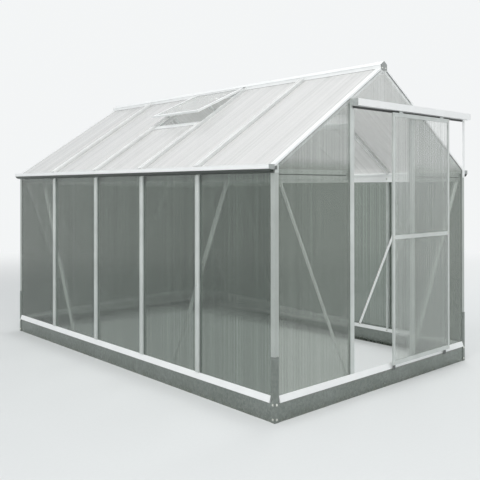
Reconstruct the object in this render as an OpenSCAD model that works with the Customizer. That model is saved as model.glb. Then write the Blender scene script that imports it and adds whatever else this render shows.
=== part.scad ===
// Polycarbonate greenhouse: galvanised base, aluminium frame, twin-wall sheets,
// a sliding door in the front gable and a hinged vent in each roof slope.
// +Z is up. The front gable faces -Y, the long walls face -X and +X.
// The origin is on the ground, at the middle of the footprint.

/* [Plan] */
// Distance between the door's jambs, which the back gable's posts repeat
door_bay = 620; // [580:5:800]
// Distance from a corner to the jamb
gable_bay = 640; // [480:5:820]
// Width of a long wall's plain bays
wide_bay = 650; // [450:5:820]
// Width of the bays whose roof can hold a vent
vent_bay = 595; // [450:5:800]
// Number of plain bays behind them
far_bays = 2; // [1:1:5]

/* [Heights] */
// Height of the roof's face above the long walls
eave_h = 1357; // [1100:1:1900]
// Height of the roof's face at the ridge
ridge_h = 1992; // [1800:1:2600]

/* [Frame profiles] */
// Wall of every aluminium profile
skin = 2; // [1.5:0.1:3]
// Width of a glazing bar's outer flange
bar_w = 36; // [28:1:48]
// Depth of a glazing bar, from its outer face inwards
bar_depth = 28; // [22:1:40]
// Web of a glazing bar
bar_web = 3; // [2:0.5:5]
// Width of the lips that hold the sheets from inside
grip_w = 20; // [14:1:28]
// Width of the foot flange inside the building
foot_w = 16; // [10:1:24]
// Leg of a corner post's outer angle
corner_leg = 30; // [24:1:40]
// Side of the square tube inside a corner post
corner_tube = 12; // [10:1:18]
// Clearance between parts that are bolted or pushed together
fit = 0.2; // [0.1:0.05:0.4]

/* [Sheets] */
// Thickness of the twin-wall sheets
sheet_t = 4; // [4:0.5:10]
// Clearance at each face and edge of a sheet
sheet_fit = 0.3; // [0.2:0.05:0.5]

/* [Base] */
// Height of the galvanised base
base_h = 105; // [80:1:200]
// Thickness of the base's steel
base_t = 1.5; // [1:0.1:3]
// Width of the base's top and bottom flanges
base_flange = 32; // [31:1:60]
// Height of the angles bolted around the corners
angle_h = 345; // [200:5:600]
// Leg of these angles
angle_leg = 28; // [22:1:30]
// Thickness of these angles
angle_t = 2; // [1:0.1:3]

/* [Sill] */
// Height of the sill profile
sill_h = 35; // [28:1:60]
// How far the sill's sloping face stands out at its foot
sill_nose = 12; // [6:1:20]
// Thickness of the sill's floor
sill_floor = 2.5; // [2:0.1:4]
// Height of the sill's inner lip and of its upstand
sill_lip = 20; // [14:1:26]

/* [Gutter and ring beam] */
// How far the gutter stands out from the wall
gutter_out = 43; // [30:1:70]
// How far the gutter's front edge stays below the eave height
gutter_drop = 1; // [0:0.5:6]
// Height of the strip behind the gutter's trough
gutter_back = 9; // [5:1:12]
// Height of the beam that runs round inside at the eaves
beam_h = 56; // [40:1:90]
// Width of that beam's top flange
beam_flange = 12; // [8:1:24]

// How far the roof bars' flanges run past the eave line
bar_over = 12; // [6:1:16]
// How far the roof sheets run past the eave line
sheet_over = 10; // [4:1:14]

/* [Gable rafters] */
// Depth of a gable rafter's inner plate, which the posts stand under
rafter_depth = 32; // [28:1:48]
// How far a rafter's outer lip reaches over the gable sheets
lip_over = 3; // [2:0.5:12]

/* [Ridge] */
// Reach of the ridge's flanges over the roof bars, measured level
ridge_flange = 36; // [30:1:60]
// Reach of the raised ridge cap, measured level
ridge_cap = 36; // [30:1:50]
// Height of the raised cap's underside over the roof
cap_rise = 19; // [14:0.5:24]
// Depth of the ridge's web below its top
ridge_web_h = 54; // [48:1:80]
// How far the plates that close the ridge reach below the roof's top line
ridge_plate = 30; // [26:1:60]
// Width of these plates
ridge_plate_w = 58; // [40:1:70]

/* [Roof vents] */
// Length of a vent's opening, down the slope from the ridge line
vent_len = 509; // [350:1:700]
// Angle by which the vents stand open
vent_open = 8.5; // [4:0.5:25]
// Width of a vent frame's rails
vent_rail = 22; // [16:1:32]
// Thickness of a vent frame
vent_depth = 14; // [12:1:20]
// How far a vent's sides stay inside the centres of the bars
vent_inset = 12; // [10:1:16]
// Distance from the ridge line to a vent's hinge line, down the slope
hinge_back = 24; // [20:1:34]
// Distance from a vent's hinge line to its frame
hinge_gap = 18; // [12:1:24]
// How far a vent frame's underside lies below its hinge line
vent_hang = 3; // [2:0.5:4]
// How far a vent reaches over the bar under it
vent_lap = 10; // [4:1:16]
// Width of the bar across the roof under a vent
cross_w = 46; // [36:1:60]
// How far that bar stands over the roof's face
cross_rise = 2.5; // [2.2:0.1:6]
// How deep the sheet below a vent sits in that bar
cross_slot = 16; // [8:1:20]
// Radius of the bead that a vent hangs from
bead_r = 5; // [4:0.1:5.2]
// Width of a vent's stays
stay_w = 12; // [8:1:20]
// Thickness of a vent's stays
stay_t = 3; // [2:0.5:4]
// Width of the stays beside a vent
side_stay_w = 5; // [4:0.5:5]
// Distance from a vent's lower edge to the stays beside it
side_stay_up = 125; // [20:5:200]
// How far up the slope those stays lean from head to foot
side_stay_lean = 25; // [0:1:40]
// How far up the slope the middle stay leans from head to foot
mid_stay_lean = 4; // [0:1:6]

/* [Door] */
// Width of the sliding door
door_w = 650; // [630:1:720]
// Height of the door's bottom edge above the ground
door_foot = 128; // [118:1:140]
// How far the track's underside lies below the roof's face over the jambs
track_drop = 70; // [66:1:110]
// How far the door stands open in the pose that is modelled
door_shown = 382; // [0:1:600]
// Thickness of the door's frame
door_depth = 10; // [9:1:22]
// Width of the door's stiles
door_rail = 20; // [16:1:45]
// Width of the door's top and middle rails
door_cross = 25; // [16:1:45]
// Width of the door's bottom rail
door_kick = 26; // [20:1:60]
// Height of the middle rail's centre line
door_mid = 923; // [700:1:1150]
// Running gap between the door and the track's underside
door_gap = 12; // [8:1:20]
// Width of the track from back to front
track_w = 46; // [42:1:60]
// Height of the track
track_rise = 42; // [36:1:60]
// Width of the slot in the track's underside
track_slot = 14; // [13:0.5:18]
// How far the track runs past the building's centre to the left
track_left = 311; // [272:1:330]
// How far the track runs past the building's right corner
track_over = 5; // [2:1:40]
// How far the door's head shows below the track
head_show = 3; // [0:1:6]
// Radius of the rollers
roller_r = 12; // [9:0.5:14]
// Width of a roller's tread
roller_w = 7; // [5:0.5:9]
// Radius of the roller pins
pin_r = 3; // [2:0.5:4]
// Running clearance at a roller's bore and tread
roller_fit = 0.25; // [0.15:0.05:0.4]
// Distance from the track's slot to a roller's inner face
roller_side = 0.5; // [0.2:0.1:1]
// Distance between the hangers and the door's middle line
hanger_x = 235; // [150:5:270]
// Thickness of the hangers
hanger_t = 3; // [2:0.5:3.5]
// Width of the hangers
hanger_w = 40; // [24:1:60]
// How deep the door's sheets sit in its frame
pane_bite = 8; // [5:0.5:12]
// Distance from the door's closing edge to its lower guide
guide_near = 6; // [0:1:60]
// Distance from the door's other edge to its lower guide
guide_far = 36; // [34:1:80]
// Width of a lower guide
guide_w = 24; // [15:1:60]
// Thickness of a lower guide
guide_t = 4; // [2:0.5:6]
// Running clearance of the lower guides
guide_run = 5.3; // [5:0.1:7]
// Width of the strut that carries the track's free end
strut_w = 20; // [14:1:26]
// Thickness of that strut
strut_t = 6; // [4:0.5:7]

/* [Braces] */
// Width of the flat brace bars
brace_w = 20; // [14:1:30]
// Thickness of the brace bars
brace_t = 2; // [2:0.5:5]
// Distance from a side brace's upper end to the bar that it crosses
brace_head = 255; // [150:5:400]
// Distance from a side brace's lower end to that bar
brace_foot = 270; // [150:5:400]

/* [Hidden] */
$fn = 48;

// Plan
width = 2 * gable_bay + door_bay;
jamb_x = door_bay / 2;
bays = concat([wide_bay, vent_bay, vent_bay], [for (i = [1 : far_bays]) wide_bay]);
side_bays = len(bays);
post_t = [for (i = [1 : side_bays - 1]) bay_sum(i)];
length = bay_sum(side_bays);
front_reach = fit + track_w;
back_reach = max(sill_nose, fit + angle_t);

// Length of a wall's first bays
function bay_sum(n) = n == 0 ? 0 : bays[n - 1] + bay_sum(n - 1);

front_y = -length / 2 + (front_reach - back_reach) / 2;
back_y = front_y + length;

// Roof slope
pitch_a = atan2(ridge_h - eave_h, width / 2);
slope_len = width / 2 / cos(pitch_a);
bar_foot_s = (skin + fit) / cos(pitch_a);

// Place on the slope, at a depth under the roof's face, that lies in
// from the long wall's face by a level distance
function plumb_s(level, deep) = (level - deep * sin(pitch_a)) / cos(pitch_a);

ridge_cut = width / 2 - bar_web / 2 - fit;
bar_top_s = plumb_s(ridge_cut, bar_depth);

// Sheets stand in a slot behind the profiles' outer skin
slot = sheet_t + 2 * sheet_fit;
sheet_in = skin + sheet_fit;
grip_in = skin + slot;

// A rafter is solid above the gable sheets, down to the roof sheets' lip
rafter_core = grip_in + skin + fit;
rafter_lip = rafter_core + sheet_fit + lip_over;

// Levels
sill_top = base_h + sill_h;
sheet_foot = base_h + sill_floor + sheet_fit;
post_foot = base_h + sill_floor + fit;
gutter_top = eave_h + bar_foot_s * sin(pitch_a) - bar_depth * cos(pitch_a) - fit;
gutter_floor = gutter_top - skin;
upstand_in = bar_depth + fit;
brace_in = upstand_in + skin + fit;
tie_reach = corner_tube;

// Roof vents: the bay of each slope that holds one, counted from the front
left_vent_bay = 2;
right_vent_bay = 1;
cross_s = slope_len - vent_len - cross_w / 2;
vent_half = vent_bay / 2 - vent_inset;
hinge_s = slope_len - hinge_back;
hinge_n = skin + 2 * fit + bead_r;
leaf_under = hinge_n - vent_hang;
leaf_top_s = hinge_gap;
leaf_foot_s = hinge_s - cross_s - cross_w / 2 + vent_lap;

// Door, measured outwards from the front gable's face
track_h = eave_h + gable_bay * tan(pitch_a) - track_drop;
track_back = fit;
track_mid = track_back + track_w / 2;
door_back = track_mid - door_depth / 2;
door_top = track_h - door_gap;
door_h = door_top - door_foot;
track_right = width / 2 + track_over;
roller_z = track_h + skin + roller_fit + roller_r;
roller_gap = track_slot / 2 + roller_side + roller_w;
head_z = track_h + bar_w / 2 - head_show;

module in_aluminium() {
    color([0.80, 0.83, 0.81]) children();
}

module in_sheet() {
    color([0.86, 0.90, 0.88, 0.5]) children();
}

module in_steel() {
    color([0.62, 0.65, 0.62]) children();
}

module in_plastic() {
    color([0.22, 0.24, 0.23]) children();
}

// Walls: X runs along the wall, Y points out of the building, Z is up.
// On the long walls X starts at the front gable, on the gables at the middle.
module on_right_wall() {
    translate([width / 2, front_y, 0]) mirror([1, -1, 0]) children();
}

module on_left_wall() {
    mirror([1, 0, 0]) on_right_wall() children();
}

module on_both_walls() {
    on_right_wall() children();
    on_left_wall() children();
}

module on_front_gable() {
    translate([0, front_y, 0]) mirror([0, 1, 0]) children();
}

module on_back_gable() {
    translate([0, back_y, 0]) children();
}

module on_both_gables() {
    on_front_gable() children();
    on_back_gable() children();
}

module both_sides() {
    children();
    mirror([1, 0, 0]) children();
}

// Roof: X runs from the front gable to the back, Y up the slope, Z out of it
module on_right_slope() {
    translate([width / 2, front_y, eave_h]) rotate([pitch_a, 0, 90]) children();
}

module on_left_slope() {
    mirror([1, 0, 0]) on_right_slope() children();
}

module on_both_slopes() {
    on_right_slope() children();
    on_left_slope() children();
}

// Pushes an outline along X. The outline's X becomes Y, its Y becomes Z.
module along(from, to) {
    translate([from, 0, 0]) rotate([90, 0, 90]) linear_extrude(to - from) children();
}

// Pushes an outline up the slope. The outline's Y becomes Z.
module up_slope(from, to) {
    translate([0, to, 0]) rotate([90, 0, 0]) linear_extrude(to - from) children();
}

// A rectangle between two corners
module rect(x0, y0, x1, y1) {
    translate([x0, y0]) square([x1 - x0, y1 - y0]);
}

// A box between two corners
module box(a, b) {
    translate(a) cube(b - a);
}

// ---- Outlines of the profiles ----

// Glazing bar: outer flange at Y = 0, the depth runs to -Y
module bar_outline() {
    rect(-bar_w / 2, -skin, bar_w / 2, 0);
    bar_inner_outline();
}

// The same bar without its outer flange
module bar_inner_outline() {
    rect(-bar_web / 2, -bar_depth, bar_web / 2, -skin);
    rect(-grip_w / 2, -grip_in - skin, grip_w / 2, -grip_in);
    rect(-foot_w / 2, -bar_depth, foot_w / 2, -bar_depth + skin);
}

// The bar's part behind the sill's inner lip
module bar_foot_outline() {
    intersection() {
        bar_inner_outline();
        rect(-bar_w, -bar_depth, bar_w, -grip_in - skin - fit);
    }
}

// Corner post: the corner is at 0,0 and the building lies in +X +Y
module corner_outline() {
    difference() {
        square(corner_tube);
        rect(skin, skin, corner_tube - skin, corner_tube - skin);
    }
    rect(0, 0, corner_leg, skin);
    rect(0, 0, skin, corner_leg);
    rect(corner_tube - skin, grip_in, corner_leg, grip_in + skin);
    rect(grip_in, corner_tube - skin, grip_in + skin, corner_leg);
}

// Base rail: X points outwards, the web's face is at 0
module base_web_outline() {
    rect(-base_t, 0, 0, base_h);
}

module base_flange_outline() {
    rect(-base_flange, 0, -base_t, base_t);
    rect(-base_flange, base_h - base_t, -base_t, base_h);
}

// Sill: X points outwards, Y is the height over the base
module sill_outline() {
    lip_top = sill_floor + sill_lip;
    difference() {
        polygon([[0, 0], [sill_nose, 0], [sill_nose, sill_floor], [0, sill_h]]);
        polygon([
            [0, sill_floor],
            [sill_nose - 2 * skin, sill_floor],
            [0, sill_h - 2 * skin]
        ]);
    }
    rect(-upstand_in - skin, 0, 0, sill_floor);
    rect(-skin, 0, 0, sill_h);
    rect(-grip_in - skin, 0, -grip_in, lip_top);
    rect(-upstand_in - skin, 0, -upstand_in, lip_top);
}

// Gutter trough, all of it outside the wall's face
module gutter_outline() {
    front_top = eave_h - gutter_drop;
    rect(0, gutter_floor, gutter_out, gutter_top);
    rect(gutter_out - skin, gutter_floor, gutter_out, front_top);
    rect(gutter_out - 2 * skin, front_top - skin, gutter_out, front_top);
}

// Ring beam under the gutter's floor, inside the wall
module beam_outline() {
    rect(-upstand_in - skin, gutter_floor - beam_h, -upstand_in, gutter_floor);
    rect(-upstand_in - beam_flange, gutter_floor - skin, -upstand_in, gutter_floor);
}

// What joins the gutter to the beam: its floor and the strip behind the trough
module gutter_seat_outline() {
    rect(-upstand_in - skin, gutter_floor, 0, gutter_top);
    rect(-skin, gutter_floor, 0, gutter_top + gutter_back);
}

// Rafter: X runs inwards from the gable's face, the roof's face is at Y = 0
module rafter_outline() {
    rect(0, -rafter_core, corner_tube, 0);
    rect(0, -skin, bar_w, 0);
    rect(0, -grip_in - skin, bar_w, -grip_in);
}

// A plate of a rafter seen from the gable. X runs up the slope.
// Both ends are cut plumb, at the eave and beside the ridge's web.
module rafter_plate_outline(deep) {
    polygon([
        [plumb_s(fit, 0), 0],
        [plumb_s(fit, deep), -deep],
        [plumb_s(ridge_cut, deep), -deep],
        [plumb_s(ridge_cut, 0), 0]
    ]);
}

// Half of the ridge, the roof's top line is at 0,0
module ridge_wing_outline(low, high, reach) {
    polygon([
        [0, low / cos(pitch_a)],
        [reach, low / cos(pitch_a) - reach * tan(pitch_a)],
        [reach, high / cos(pitch_a) - reach * tan(pitch_a)],
        [0, high / cos(pitch_a)]
    ]);
}

module ridge_top_outline() {
    both_sides() ridge_wing_outline(fit, fit + skin, ridge_flange);
    both_sides() ridge_wing_outline(cap_rise, cap_rise + skin, ridge_cap);
    rect(-2 * skin, 0, 2 * skin, (cap_rise + skin / 2) / cos(pitch_a));
}

module ridge_web_outline() {
    rect(-bar_web / 2, -ridge_web_h, bar_web / 2, skin);
    rect(-foot_w, -ridge_web_h - skin, foot_w, -ridge_web_h);
}

// ---- Larger shapes that repeat ----

// A glazing bar that stands in a sill, up to the height top
module wall_post(top) {
    translate([0, 0, sill_top + fit]) linear_extrude(top - sill_top - fit) bar_outline();
    translate([0, 0, post_foot]) linear_extrude(sill_top + fit - post_foot) bar_foot_outline();
}

// Everything above the line under the rafters, seen from a gable
module above_rafters(depth) {
    reach = 2 * width;
    both_sides()
        translate([width / 2, 0, eave_h]) rotate([0, pitch_a, 0])
            translate([-reach, -reach / 2, -depth]) cube([2 * reach, reach, reach]);
}

// A post in a gable, cut to the slope of the rafter above it: its outer
// flange ends at the rafter's lip, what lies behind that at its inner plate
module gable_post(x) {
    difference() {
        translate([x, 0, 0]) wall_post(ridge_h);
        above_rafters(rafter_lip + fit);
        intersection() {
            above_rafters(rafter_depth + fit);
            box([-width, -width, 0], [width, -skin, 2 * ridge_h]);
        }
    }
}

// A sheet in a gable between two lines, cut to the slope above it
module gable_sheet(x0, x1, z0) {
    difference() {
        box([x0, -sheet_in - sheet_t, z0], [x1, -sheet_in, ridge_h]);
        above_rafters(rafter_core + sheet_fit);
    }
}

// A flat bar from one point of a wall to another, on the wall's inner side
module brace(x0, z0, x1, z1) {
    run = [x1 - x0, z1 - z0];
    translate([x0, -brace_in - brace_t, z0])
        rotate([0, -atan2(run[1], run[0]), 0])
            translate([0, 0, -brace_w / 2]) cube([norm(run), brace_t, brace_w]);
}

// A frame of rails round a sheet, in X and Y, with the sheet at mid depth.
// bars lists the middle of each extra rail across it, and cross is the width of these.
module sash(w, h, depth, side, top, foot, bars = [], cross = 0) {
    difference() {
        cube([w, h, depth]);
        difference() {
            translate([side, foot, -1]) cube([w - 2 * side, h - top - foot, depth + 2]);
            for (y = bars)
                translate([0, y - cross / 2, -1]) cube([w, cross, depth + 2]);
        }
        for (span = sash_spans(h, top, foot, cross, bars))
            translate([side - pane_bite, span[0] - pane_bite, (depth - slot) / 2])
                cube([w - 2 * side + 2 * pane_bite, span[1] - span[0] + 2 * pane_bite, slot]);
    }
}

// The openings of such a frame, as pairs of lower and upper edges
function sash_spans(h, top, foot, cross, bars) = [
    for (i = [0 : len(bars)]) [
        i == 0 ? foot : bars[i - 1] + cross / 2,
        i == len(bars) ? h - top : bars[i] - cross / 2
    ]
];

// The sheets of such a frame
module sash_panes(w, h, depth, side, top, foot, bars = [], cross = 0) {
    inset = side - pane_bite + sheet_fit;
    for (span = sash_spans(h, top, foot, cross, bars))
        translate([inset, span[0] - pane_bite + sheet_fit, (depth - sheet_t) / 2])
            cube([
                w - 2 * inset,
                span[1] - span[0] + 2 * (pane_bite - sheet_fit),
                sheet_t
            ]);
}

// ---- Base ----

module side_base_rails() {
    in_steel() on_both_walls() {
        along(0, length) base_web_outline();
        along(base_t + fit, length - base_t - fit) base_flange_outline();
    }
}

module gable_base_rails() {
    web_x = width / 2 - base_t - fit;
    flange_x = width / 2 - base_flange - fit;
    in_steel() on_both_gables() {
        along(-web_x, web_x) base_web_outline();
        along(-flange_x, flange_x) base_flange_outline();
    }
}

module base_corner_angles() {
    in_steel() on_both_gables() both_sides()
        translate([width / 2 + fit, fit, 0]) linear_extrude(angle_h) {
            rect(-angle_leg, 0, angle_t, angle_t);
            rect(0, -angle_leg, angle_t, angle_t);
        }
}

// ---- Sills ----

module side_sills() {
    in_aluminium() on_both_walls() translate([0, 0, base_h])
        along(upstand_in + skin + fit, length - upstand_in - skin - fit) sill_outline();
}

module gable_sills() {
    end_x = width / 2 - upstand_in - skin - fit;
    in_aluminium() on_both_gables() translate([0, 0, base_h]) along(-end_x, end_x) sill_outline();
}

// ---- Uprights ----

module corner_posts() {
    in_aluminium() on_both_gables() difference() {
        both_sides()
            translate([-width / 2, 0, base_h + fit]) mirror([0, 1, 0])
                linear_extrude(ridge_h - base_h) corner_outline();
        above_rafters(rafter_depth + fit);
    }
}

module wall_posts() {
    for (t = post_t)
        translate([t, 0, 0]) wall_post(gutter_floor - fit);
}

module left_wall_posts() {
    in_aluminium() on_left_wall() wall_posts();
}

module right_wall_posts() {
    in_aluminium() on_right_wall() wall_posts();
}

module door_jambs() {
    in_aluminium() on_front_gable() both_sides() gable_post(jamb_x);
}

module back_gable_posts() {
    in_aluminium() on_back_gable() both_sides() gable_post(jamb_x);
}

// ---- Eaves ----

module eave_gutter() {
    inner = upstand_in + skin + fit;
    along(0, length) gutter_outline();
    along(inner, length - inner) {
        gutter_seat_outline();
        beam_outline();
    }
}

module left_eave_gutter() {
    in_aluminium() on_left_wall() eave_gutter();
}

module right_eave_gutter() {
    in_aluminium() on_right_wall() eave_gutter();
}

module gutter_end_caps() {
    in_plastic() on_both_gables() both_sides()
        box([width / 2 + fit, fit, gutter_floor - skin], [width / 2 + gutter_out, skin, eave_h]);
}

// ---- Gables ----

module gable_tie(from, to, flange_from, flange_to) {
    along(from, to) rect(-upstand_in - skin, gutter_floor - beam_h, -upstand_in, gutter_floor);
    along(flange_from, flange_to)
        rect(-upstand_in - beam_flange, gutter_floor - skin, -upstand_in, gutter_floor);
}

module front_gable_ties() {
    end_x = width / 2 - tie_reach;
    flange_x = width / 2 - upstand_in - beam_flange - fit;
    jamb_in = jamb_x - foot_w / 2;
    in_aluminium() on_front_gable() both_sides() gable_tie(jamb_in, end_x, jamb_in, flange_x);
}

module back_gable_tie() {
    end_x = width / 2 - tie_reach;
    flange_x = width / 2 - upstand_in - beam_flange - fit;
    in_aluminium() on_back_gable() gable_tie(-end_x, end_x, -flange_x, flange_x);
}

module door_head() {
    end_x = jamb_x - bar_w / 2 - fit;
    in_aluminium() on_front_gable()
        translate([0, 0, head_z]) along(-end_x, end_x) mirror([1, -1, 0]) bar_outline();
}

// ---- Roof frame ----

module rafter() {
    up_slope(bar_foot_s, bar_top_s) rafter_outline();
    up_slope(-bar_over, bar_top_s) rect(0, -skin, bar_w, 0);
    rotate([90, 0, 90]) linear_extrude(skin) rafter_plate_outline(rafter_lip);
    translate([grip_in, 0, 0]) rotate([90, 0, 90]) linear_extrude(skin)
        rafter_plate_outline(rafter_depth);
}

module front_rafters() {
    in_aluminium() on_both_slopes() rafter();
}

module back_rafters() {
    in_aluminium() on_both_slopes() translate([length, 0, 0]) mirror([1, 0, 0]) rafter();
}

module roof_bars() {
    for (t = post_t)
        translate([t, 0, 0]) {
            up_slope(bar_foot_s, bar_top_s) bar_inner_outline();
            up_slope(-bar_over, bar_top_s) rect(-bar_w / 2, -skin, bar_w / 2, 0);
        }
}

module left_roof_bars() {
    in_aluminium() on_left_slope() roof_bars();
}

module right_roof_bars() {
    in_aluminium() on_right_slope() roof_bars();
}

module ridge_beam() {
    web_in = grip_in + skin + fit;
    in_aluminium() translate([0, front_y, ridge_h]) mirror([1, -1, 0]) {
        along(0, length) ridge_top_outline();
        along(web_in, length - web_in) ridge_web_outline();
    }
}

module ridge_end_plates() {
    top = (cap_rise + skin) / cos(pitch_a);
    half = ridge_plate_w / 2;
    side = top - half * tan(pitch_a);
    in_aluminium() on_both_gables()
        translate([0, fit + skin, ridge_h]) rotate([90, 0, 0]) linear_extrude(skin) polygon([
            [-half, -ridge_plate],
            [half, -ridge_plate],
            [half, side],
            [0, top],
            [-half, side]
        ]);
}

module cross_bar(bay) {
    from = bay_start(bay) + bar_w / 2 + fit;
    to = bay_end(bay) - bar_w / 2 - fit;
    along(from, to) difference() {
        rect(cross_s - cross_w / 2, -grip_in - skin, cross_s + cross_w / 2, cross_rise);
        rect(cross_s - cross_w / 2, -grip_in, cross_s - cross_w / 2 + cross_slot, -skin);
    }
}

module vent_cross_bars() {
    in_aluminium() {
        on_left_slope() cross_bar(left_vent_bay);
        on_right_slope() cross_bar(right_vent_bay);
    }
}

// ---- Sheets ----

// Where a bay starts and ends, measured to the middle of its bars
function bay_start(i) = i == 0 ? 0 : post_t[i - 1];
function bay_end(i) = i == side_bays - 1 ? length : post_t[i];

// The same for its sheet, which stops short of the webs and corner tubes
function sheet_start(i) = bay_start(i) + (i == 0 ? corner_tube : bar_web / 2) + sheet_fit;
function sheet_end(i) = bay_end(i) - (i == side_bays - 1 ? corner_tube : bar_web / 2) - sheet_fit;

module wall_panels() {
    for (i = [0 : side_bays - 1])
        box(
            [sheet_start(i), -sheet_in - sheet_t, sheet_foot],
            [sheet_end(i), -sheet_in, gutter_floor - sheet_fit]
        );
}

module left_wall_panels() {
    in_sheet() on_left_wall() wall_panels();
}

module right_wall_panels() {
    in_sheet() on_right_wall() wall_panels();
}

module gable_side_sheets() {
    both_sides()
        gable_sheet(
            jamb_x + bar_web / 2 + sheet_fit,
            width / 2 - corner_tube - sheet_fit,
            sheet_foot
        );
}

module gable_middle_sheet(foot) {
    edge = jamb_x - bar_web / 2 - sheet_fit;
    gable_sheet(-edge, edge, foot);
}

module front_gable_panels() {
    in_sheet() on_front_gable() {
        gable_side_sheets();
        gable_middle_sheet(head_z + bar_web / 2 + sheet_fit);
    }
}

module back_gable_panels() {
    in_sheet() on_back_gable() {
        gable_side_sheets();
        gable_middle_sheet(sheet_foot);
    }
}

module roof_panels(open_bay) {
    for (i = [0 : side_bays - 1]) {
        top_s = i == open_bay ? cross_s - cross_w / 2 + cross_slot - sheet_fit : bar_top_s;
        box(
            [sheet_start(i), -sheet_over, -sheet_in - sheet_t],
            [sheet_end(i), top_s, -sheet_in]
        );
    }
}

module left_roof_panels() {
    in_sheet() on_left_slope() roof_panels(left_vent_bay);
}

module right_roof_panels() {
    in_sheet() on_right_slope() roof_panels(right_vent_bay);
}

// ---- Braces ----

// From the ring beam in the end bay to the sill in the next one
module side_wall_braces() {
    top_z = gutter_floor - beam_h / 2;
    foot_z = base_h + sill_floor + sill_lip / 2 + brace_w / 4;
    top_t = wide_bay - brace_head;
    foot_t = wide_bay + brace_foot;
    in_aluminium() on_both_walls() {
        brace(top_t, top_z, foot_t, foot_z);
        brace(length - foot_t, foot_z, length - top_t, top_z);
    }
}

// From the upper corner to the foot of the jamb or post
module gable_braces() {
    top_z = gutter_floor - beam_h / 2;
    foot_z = base_h + sill_floor + sill_lip / 2 + brace_w / 4;
    top_x = width / 2 - upstand_in - skin - brace_w;
    foot_x = jamb_x + foot_w;
    in_aluminium() on_both_gables() both_sides() brace(foot_x, foot_z, top_x, top_z);
}

// ---- Roof vents ----

// Moves a vent's parts to a bay's hinge line and turns them open.
// X runs along the ridge from the bay's middle, Y up the slope.
module at_hinge(bay) {
    middle = (bay_start(bay) + bay_end(bay)) / 2;
    translate([middle, hinge_s, hinge_n]) rotate([-vent_open, 0, 0]) children();
}

module vent_frame() {
    leaf_h = leaf_foot_s - leaf_top_s;
    under = leaf_under - hinge_n;
    translate([-vent_half, -leaf_foot_s, under])
        sash(2 * vent_half, leaf_h, vent_depth, vent_rail, vent_rail, vent_rail);
    translate([-vent_half, 0, 0]) rotate([0, 90, 0]) cylinder(r = bead_r, h = 2 * vent_half);
    box([-vent_half, -leaf_top_s - skin, -skin], [vent_half, 0, skin]);
}

module vent_pane() {
    leaf_h = leaf_foot_s - leaf_top_s;
    translate([-vent_half, -leaf_foot_s, leaf_under - hinge_n])
        sash_panes(2 * vent_half, leaf_h, vent_depth, vent_rail, vent_rail, vent_rail);
}

module in_vents() {
    on_left_slope() at_hinge(left_vent_bay) children();
    on_right_slope() at_hinge(right_vent_bay) children();
}

module vent_frames() {
    in_aluminium() in_vents() vent_frame();
}

module vent_panes() {
    in_sheet() in_vents() vent_pane();
}

// Height of the open leaf's underside, a distance down the slope from the hinge
function leaf_z(d) =
    hinge_n + (leaf_under - hinge_n) / cos(vent_open) + d * tan(vent_open) - fit;

// Two stays on the bars beside the leaf and one on the cross bar under it
module stays(bay) {
    middle = (bay_start(bay) + bay_end(bay)) / 2;
    side_d = leaf_foot_s - side_stay_up;
    mid_d = leaf_foot_s - vent_lap + stay_t / 2 + mid_stay_lean;
    side_x = (vent_bay / 2 - bar_w / 2 + vent_half) / 2;
    translate([middle, hinge_s, 0]) {
        both_sides()
            stay(side_x, side_d, side_stay_lean, fit, side_stay_w, stay_w);
        stay(0, mid_d, mid_stay_lean, cross_rise + fit, stay_w, stay_t);
    }
}

// One leaning stay, its head cut to the slope of the leaf
module stay(x, d, lean, foot_z, wide, deep) {
    head = [for (e = [-1, 1]) leaf_z(d - e * deep / 2)];
    translate([x - wide / 2, -d, 0]) rotate([90, 0, 90]) linear_extrude(wide)
        polygon([
            [lean - deep / 2, foot_z],
            [lean + deep / 2, foot_z],
            [deep / 2, head[1]],
            [-deep / 2, head[0]]
        ]);
}

module vent_stays() {
    in_aluminium() {
        on_left_slope() stays(left_vent_bay);
        on_right_slope() stays(right_vent_bay);
    }
}

// ---- Door track ----

module track_outline() {
    difference() {
        rect(track_back, track_h, track_back + track_w, track_h + track_rise);
        rect(
            track_back + skin,
            track_h + skin,
            track_back + track_w - skin,
            track_h + track_rise - skin
        );
        rect(
            track_mid - track_slot / 2,
            track_h - 1,
            track_mid + track_slot / 2,
            track_h + skin + 1
        );
    }
}

module door_track() {
    in_aluminium() on_front_gable() along(-track_left, track_right) track_outline();
}

module track_end_caps() {
    in_plastic() on_front_gable() {
        for (x = [-track_left - fit - skin, track_right + fit])
            box([x, track_back, track_h], [x + skin, track_back + track_w, track_h + track_rise]);
    }
}

module track_strut() {
    foot_z = gutter_floor - beam_h / 2;
    x = width / 2 - strut_w - skin;
    in_aluminium() on_front_gable()
        box([x, fit, foot_z], [x + strut_w, fit + strut_t, track_h - fit]);
}

// ---- Door ----

// The door's own frame: X from its middle line, Y outwards, Z up
module on_door() {
    on_front_gable() translate([door_shown, 0, 0]) children();
}

// The sash lies in X and Y, so it is stood up
module stand_door() {
    on_door() translate([-door_w / 2, door_back + door_depth, door_foot]) rotate([90, 0, 0])
        children();
}

module door_frame() {
    in_aluminium() stand_door()
        sash(
            door_w, door_h, door_depth, door_rail, door_cross, door_kick,
            [door_mid - door_foot], door_cross
        );
}

module door_panes() {
    in_sheet() stand_door()
        sash_panes(
            door_w, door_h, door_depth, door_rail, door_cross, door_kick,
            [door_mid - door_foot], door_cross
        );
}

module door_hangers() {
    in_aluminium() on_door() both_sides() translate([hanger_x, track_mid, 0]) {
        box(
            [-hanger_w / 2, -hanger_t / 2, door_top + fit],
            [hanger_w / 2, hanger_t / 2, roller_z + pin_r + hanger_t]
        );
        box(
            [-hanger_w / 2, -min(track_slot, door_depth) / 2, door_top + fit],
            [hanger_w / 2, min(track_slot, door_depth) / 2, door_top + fit + hanger_t]
        );
        translate([0, roller_gap, roller_z]) rotate([90, 0, 0])
            cylinder(r = pin_r, h = 2 * roller_gap);
    }
}

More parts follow.
